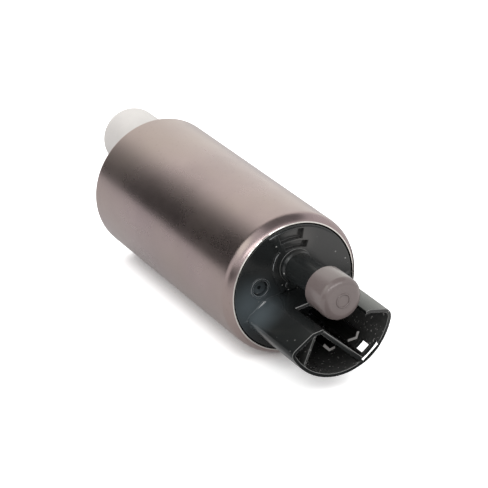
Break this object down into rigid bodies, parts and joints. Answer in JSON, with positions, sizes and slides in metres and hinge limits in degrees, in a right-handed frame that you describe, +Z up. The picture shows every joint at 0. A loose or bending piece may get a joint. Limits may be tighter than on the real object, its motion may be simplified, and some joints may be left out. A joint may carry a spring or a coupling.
{
  "type": "fuel pump",
  "caption": "In-tank electric fuel pump: rolled steel can with a moulded outlet end, keyed connector shroud, gerotor stage inside, and dust caps on both nipples.",
  "frame": {"origin": "under the middle of the whole length, on the surface it lies on", "axes": "+X along the pump's axis towards the outlet and connector; +Z up, with the outlet nipple above the axis; the pump lies on its side"},
  "size_m": [0.122, 0.039, 0.039],
  "materials": {
    "body_steel": "satin rolled steel, faint scuffs",
    "black_moulding": "satin black moulding",
    "outlet_cap_grey": "soft satin vinyl",
    "inlet_cap_white": "milky, slightly see-through",
    "tinned_strip": "tin-plated, dull",
    "gear_ring_alloy": "machined",
    "sintered_iron": "ground sintered iron",
    "nylon": "natural nylon",
    "hard_steel": "ground steel",
    "lamination_steel": "stamped sheet stack",
    "copper_wire": "lacquered copper wire",
    "carbon": "pressed carbon",
    "bronze": "sintered bronze",
    "ferrite": "pressed ferrite",
    "seal_rubber": "matt rubber"
  },
  "bodies": {
    "housing": {"pump_shell": "body_steel", "outlet_end_cap": "black_moulding", "inlet_body": "black_moulding", "terminal_left": "tinned_strip", "terminal_right": "tinned_strip", "gear_ring": "gear_ring_alloy", "discharge_plate": "gear_ring_alloy", "check_valve_guide": "nylon", "relief_valve_plug": "nylon", "dowel_pin_lower": "hard_steel", "dowel_pin_upper": "hard_steel", "magnet_clip_upper": "hard_steel", "magnet_clip_lower": "hard_steel", "brush_spring_left": "hard_steel", "brush_spring_right": "hard_steel", "check_valve_spring": "hard_steel", "relief_valve_spring": "hard_steel", "flux_ring": "lamination_steel", "choke_left": "copper_wire", "choke_right": "copper_wire", "pump_bushing": "bronze", "outlet_bushing": "bronze", "magnet_left": "ferrite", "magnet_right": "ferrite", "seal_ring": "seal_rubber"},
    "armature": {"armature_shaft": "hard_steel", "armature_core": "lamination_steel", "armature_windings": "copper_wire", "commutator": "carbon", "drive_coupler": "nylon", "inner_rotor": "sintered_iron", "thrust_washer_pump": "nylon", "thrust_washer_outlet": "nylon"},
    "outer_gear": {"outer_rotor": "sintered_iron"},
    "right_brush": {"brush_right": "carbon"},
    "left_brush": {"brush_left": "carbon"},
    "check_valve": {"check_valve_poppet": "nylon"},
    "relief_valve": {"relief_valve_ball": "hard_steel"},
    "outlet_cap": {"outlet_dust_cap": "outlet_cap_grey"},
    "inlet_cap": {"inlet_dust_cap": "inlet_cap_white"}
  },
  "joints": [
    {"name": "armature_spin", "type": "hinge", "parent": "housing", "child": "armature", "pos_m": [-0.00178, 0, 0.01948], "axis": [1, 0, 0], "continuous": true},
    {"name": "outer_rotor_spin", "type": "hinge", "parent": "housing", "child": "outer_gear", "pos_m": [-0.00178, 0.001, 0.01948], "axis": [1, 0, 0], "continuous": true},
    {"name": "right_brush_wear", "type": "slide", "parent": "housing", "child": "right_brush", "axis": [1, 0, 0], "range_m": [0, 0.003], "stiffness_N_per_m": 60, "springref_m": -0.004, "deforming": ["brush_spring_right"]},
    {"name": "left_brush_wear", "type": "slide", "parent": "housing", "child": "left_brush", "axis": [1, 0, 0], "range_m": [0, 0.003], "stiffness_N_per_m": 60, "springref_m": -0.004, "deforming": ["brush_spring_left"]},
    {"name": "check_valve_lift", "type": "slide", "parent": "housing", "child": "check_valve", "axis": [1, 0, 0], "range_m": [0, 0.002], "stiffness_N_per_m": 50, "springref_m": -0.003, "deforming": ["check_valve_spring"]},
    {"name": "relief_valve_lift", "type": "slide", "parent": "housing", "child": "relief_valve", "axis": [1, 0, 0], "range_m": [0, 0.0008], "stiffness_N_per_m": 500, "springref_m": -0.002, "deforming": ["relief_valve_spring"]},
    {"name": "outlet_cap_pull", "type": "slide", "parent": "housing", "child": "outlet_cap", "axis": [1, 0, 0], "range_m": [0, 0.012]},
    {"name": "inlet_cap_pull", "type": "slide", "parent": "housing", "child": "inlet_cap", "axis": [-1, 0, 0], "range_m": [0, 0.02]}
  ],
  "couplings": [
    {"joint": "outer_rotor_spin", "follows": "armature_spin", "ratio": 0.85714}
  ]
}
